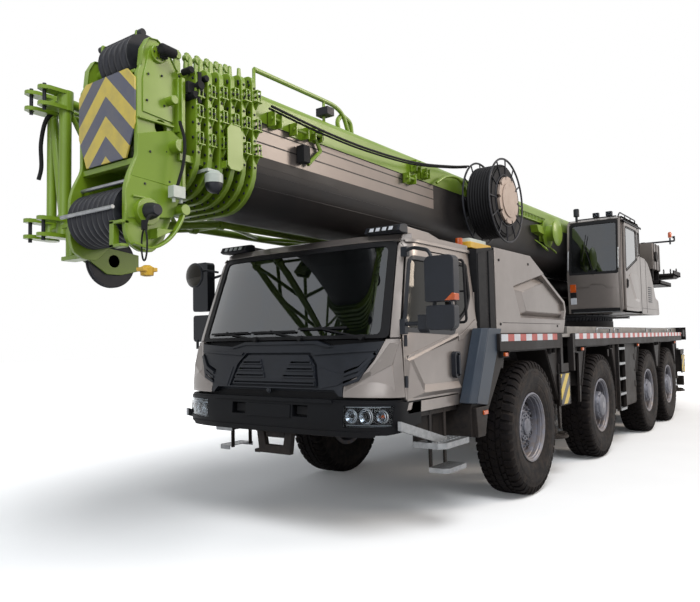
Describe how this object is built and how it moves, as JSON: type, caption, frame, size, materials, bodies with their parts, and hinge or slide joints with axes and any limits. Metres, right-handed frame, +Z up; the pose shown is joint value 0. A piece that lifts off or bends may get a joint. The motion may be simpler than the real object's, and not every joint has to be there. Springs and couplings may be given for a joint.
{
  "type": "four-axle mobile crane",
  "caption": "All-terrain mobile crane on a steered multi-axle carrier, with slewing upper part, operator's cab, telescopic boom, stowed lattice jib and outriggers.",
  "frame": {"origin": "on the ground under the middle of the machine's length and width, boom down and wheels straight", "axes": "+X forward, +Y to the machine's left, +Z up"},
  "size_m": [13.4, 3.38, 3.7798],
  "materials": {
    "tyre": "dusty black rubber tread blocks",
    "wheel_silver": "silver-grey painted steel disc",
    "chassis_paint": "dark grey chassis paint",
    "cab_paint": "champagne metallic paint",
    "black_plastic": "grained black plastic",
    "glass": "dark tinted safety glass",
    "engine_grey": "cast block",
    "outrigger_paint": "dark painted box beam with hazard end plate",
    "chrome_rod": "ground and chromed rod",
    "super_paint": "dark grey paint",
    "boom_paint": "lime green and dark paint in bands",
    "boom_green": "lime green paint",
    "reel_black": "black painted reel"
  },
  "bodies": {
    "carrier": {"chassis_frame": "chassis_paint", "axle_set": "chassis_paint", "deck": "chassis_paint", "side_gear": "chassis_paint", "tow_jaw": "chassis_paint", "cab_shell": "cab_paint", "cab_glass": "glass", "cab_interior": "black_plastic", "cab_fittings": "black_plastic", "engine_hood": "cab_paint", "engine_block": "engine_grey"},
    "door_left": {"door_left": "cab_paint", "door_glass_left": "glass"},
    "door_right": {"door_right": "cab_paint", "door_glass_right": "glass"},
    "superstructure": {"superstructure": "super_paint", "operator_cab": "super_paint", "operator_glass": "glass", "operator_seat": "black_plastic"},
    "operator_door": {"operator_door": "super_paint"},
    "boom": {"boom_base": "boom_paint", "hose_reel": "reel_black", "jib": "boom_green"},
    "luff_barrel": {"luff_barrel": "super_paint"},
    "luff_rod": {"luff_rod": "chrome_rod"},
    "section_7": {"boom_section_7": "boom_green", "nose_sheave": "boom_green"},
    "section_2": {"boom_section_2": "boom_green"},
    "section_3": {"boom_section_3": "boom_green"},
    "section_4": {"boom_section_4": "boom_green"},
    "section_5": {"boom_section_5": "boom_green"},
    "section_6": {"boom_section_6": "boom_green"},
    "wheel_1_left": {"tyre_1_left": "tyre", "wheel_1_left": "wheel_silver"},
    "wheel_1_right": {"tyre_1_right": "tyre", "wheel_1_right": "wheel_silver"},
    "wheel_2_left": {"tyre_2_left": "tyre", "wheel_2_left": "wheel_silver"},
    "wheel_2_right": {"tyre_2_right": "tyre", "wheel_2_right": "wheel_silver"},
    "wheel_3_left": {"tyre_3_left": "tyre", "wheel_3_left": "wheel_silver"},
    "wheel_3_right": {"tyre_3_right": "tyre", "wheel_3_right": "wheel_silver"},
    "wheel_4_left": {"tyre_4_left": "tyre", "wheel_4_left": "wheel_silver"},
    "wheel_4_right": {"tyre_4_right": "tyre", "wheel_4_right": "wheel_silver"},
    "knuckle_1_left": {"knuckle_1_left": "chassis_paint"},
    "knuckle_1_right": {"knuckle_1_right": "chassis_paint"},
    "knuckle_2_left": {"knuckle_2_left": "chassis_paint"},
    "knuckle_2_right": {"knuckle_2_right": "chassis_paint"},
    "beam_front_left": {"outrigger_beam_front_left": "outrigger_paint"},
    "jack_front_left": {"outrigger_jack_front_left": "chrome_rod"},
    "beam_front_right": {"outrigger_beam_front_right": "outrigger_paint"},
    "jack_front_right": {"outrigger_jack_front_right": "chrome_rod"},
    "beam_rear_left": {"outrigger_beam_rear_left": "outrigger_paint"},
    "jack_rear_left": {"outrigger_jack_rear_left": "chrome_rod"},
    "beam_rear_right": {"outrigger_beam_rear_right": "outrigger_paint"},
    "jack_rear_right": {"outrigger_jack_rear_right": "chrome_rod"}
  },
  "joints": [
    {"name": "steer_1_left", "type": "hinge", "parent": "carrier", "child": "knuckle_1_left", "pos_m": [2.48, 0.94, 0.685], "axis": [0, 0, 1], "range_deg": [-32, 32]},
    {"name": "steer_1_right", "type": "hinge", "parent": "carrier", "child": "knuckle_1_right", "pos_m": [2.48, -0.94, 0.685], "axis": [0, 0, 1], "range_deg": [-32, 32]},
    {"name": "steer_2_left", "type": "hinge", "parent": "carrier", "child": "knuckle_2_left", "pos_m": [-0.04, 0.94, 0.685], "axis": [0, 0, 1], "range_deg": [-24, 24]},
    {"name": "steer_2_right", "type": "hinge", "parent": "carrier", "child": "knuckle_2_right", "pos_m": [-0.04, -0.94, 0.685], "axis": [0, 0, 1], "range_deg": [-24, 24]},
    {"name": "roll_1_left", "type": "hinge", "parent": "knuckle_1_left", "child": "wheel_1_left", "pos_m": [2.48, 1.1825, 0.685], "axis": [0, 1, 0], "continuous": true},
    {"name": "roll_1_right", "type": "hinge", "parent": "knuckle_1_right", "child": "wheel_1_right", "pos_m": [2.48, -1.1825, 0.685], "axis": [0, 1, 0], "continuous": true},
    {"name": "roll_2_left", "type": "hinge", "parent": "knuckle_2_left", "child": "wheel_2_left", "pos_m": [-0.04, 1.1825, 0.685], "axis": [0, 1, 0], "continuous": true},
    {"name": "roll_2_right", "type": "hinge", "parent": "knuckle_2_right", "child": "wheel_2_right", "pos_m": [-0.04, -1.1825, 0.685], "axis": [0, 1, 0], "continuous": true},
    {"name": "roll_3_left", "type": "hinge", "parent": "carrier", "child": "wheel_3_left", "pos_m": [-2.84, 1.1825, 0.685], "axis": [0, 1, 0], "continuous": true},
    {"name": "roll_3_right", "type": "hinge", "parent": "carrier", "child": "wheel_3_right", "pos_m": [-2.84, -1.1825, 0.685], "axis": [0, 1, 0], "continuous": true},
    {"name": "roll_4_left", "type": "hinge", "parent": "carrier", "child": "wheel_4_left", "pos_m": [-4.49, 1.1825, 0.685], "axis": [0, 1, 0], "continuous": true},
    {"name": "roll_4_right", "type": "hinge", "parent": "carrier", "child": "wheel_4_right", "pos_m": [-4.49, -1.1825, 0.685], "axis": [0, 1, 0], "continuous": true},
    {"name": "door_left_swing", "type": "hinge", "parent": "carrier", "child": "door_left", "pos_m": [4.736, 1.2043, 1.4], "axis": [0, 0, -1], "range_deg": [0, 68]},
    {"name": "door_right_swing", "type": "hinge", "parent": "carrier", "child": "door_right", "pos_m": [4.736, -1.2043, 1.4], "axis": [0, 0, 1], "range_deg": [0, 68]},
    {"name": "slew", "type": "hinge", "parent": "carrier", "child": "superstructure", "pos_m": [-2.42, 0, 1.85], "axis": [0, 0, 1], "continuous": true},
    {"name": "operator_door_slide", "type": "slide", "parent": "superstructure", "child": "operator_door", "axis": [-1, 0, 0], "range_m": [0, 0.78]},
    {"name": "luff", "type": "hinge", "parent": "superstructure", "child": "boom", "pos_m": [-4.52, 0, 3.05], "axis": [0, -1, 0], "range_deg": [0, 82]},
    {"name": "luff_barrel_tilt", "type": "hinge", "parent": "superstructure", "child": "luff_barrel", "pos_m": [-3.27, 0, 2.46], "axis": [0, -1, 0], "range_deg": [0, 89.97]},
    {"name": "luff_rod_slide", "type": "slide", "parent": "luff_barrel", "child": "luff_rod", "axis": [1, 0, 0], "range_m": [0, 1.7112]},
    {"name": "telescope_2", "type": "slide", "parent": "boom", "child": "section_2", "axis": [1, 0, 0], "range_m": [0, 9]},
    {"name": "telescope_3", "type": "slide", "parent": "section_2", "child": "section_3", "axis": [1, 0, 0], "range_m": [0, 9]},
    {"name": "telescope_4", "type": "slide", "parent": "section_3", "child": "section_4", "axis": [1, 0, 0], "range_m": [0, 9]},
    {"name": "telescope_5", "type": "slide", "parent": "section_4", "child": "section_5", "axis": [1, 0, 0], "range_m": [0, 9]},
    {"name": "telescope_6", "type": "slide", "parent": "section_5", "child": "section_6", "axis": [1, 0, 0], "range_m": [0, 9]},
    {"name": "telescope_7", "type": "slide", "parent": "section_6", "child": "section_7", "axis": [1, 0, 0], "range_m": [0, 9]},
    {"name": "beam_front_left_out", "type": "slide", "parent": "carrier", "child": "beam_front_left", "axis": [0, 1, 0], "range_m": [0, 1.6]},
    {"name": "jack_front_left_down", "type": "slide", "parent": "beam_front_left", "child": "jack_front_left", "axis": [0, 0, -1], "range_m": [0, 0.6]},
    {"name": "beam_front_right_out", "type": "slide", "parent": "carrier", "child": "beam_front_right", "axis": [0, -1, 0], "range_m": [0, 1.6]},
    {"name": "jack_front_right_down", "type": "slide", "parent": "beam_front_right", "child": "jack_front_right", "axis": [0, 0, -1], "range_m": [0, 0.6]},
    {"name": "beam_rear_left_out", "type": "slide", "parent": "carrier", "child": "beam_rear_left", "axis": [0, 1, 0], "range_m": [0, 1.6]},
    {"name": "jack_rear_left_down", "type": "slide", "parent": "beam_rear_left", "child": "jack_rear_left", "axis": [0, 0, -1], "range_m": [0, 0.6]},
    {"name": "beam_rear_right_out", "type": "slide", "parent": "carrier", "child": "beam_rear_right", "axis": [0, -1, 0], "range_m": [0, 1.6]},
    {"name": "jack_rear_right_down", "type": "slide", "parent": "beam_rear_right", "child": "jack_rear_right", "axis": [0, 0, -1], "range_m": [0, 0.6]}
  ],
  "couplings": [
    {"joint": "steer_1_right", "follows": "steer_1_left", "ratio": 1},
    {"joint": "steer_2_left", "follows": "steer_1_left", "ratio": 0.75},
    {"joint": "steer_2_right", "follows": "steer_1_left", "ratio": 0.75},
    {"joint": "luff_barrel_tilt", "follows": "luff", "ratio": 1.0973},
    {"joint": "luff_rod_slide", "follows": "luff", "m_per_rad": 1.1956},
    {"joint": "telescope_3", "follows": "telescope_2", "ratio": 1},
    {"joint": "telescope_4", "follows": "telescope_2", "ratio": 1},
    {"joint": "telescope_5", "follows": "telescope_2", "ratio": 1},
    {"joint": "telescope_6", "follows": "telescope_2", "ratio": 1},
    {"joint": "telescope_7", "follows": "telescope_2", "ratio": 1}
  ]
}
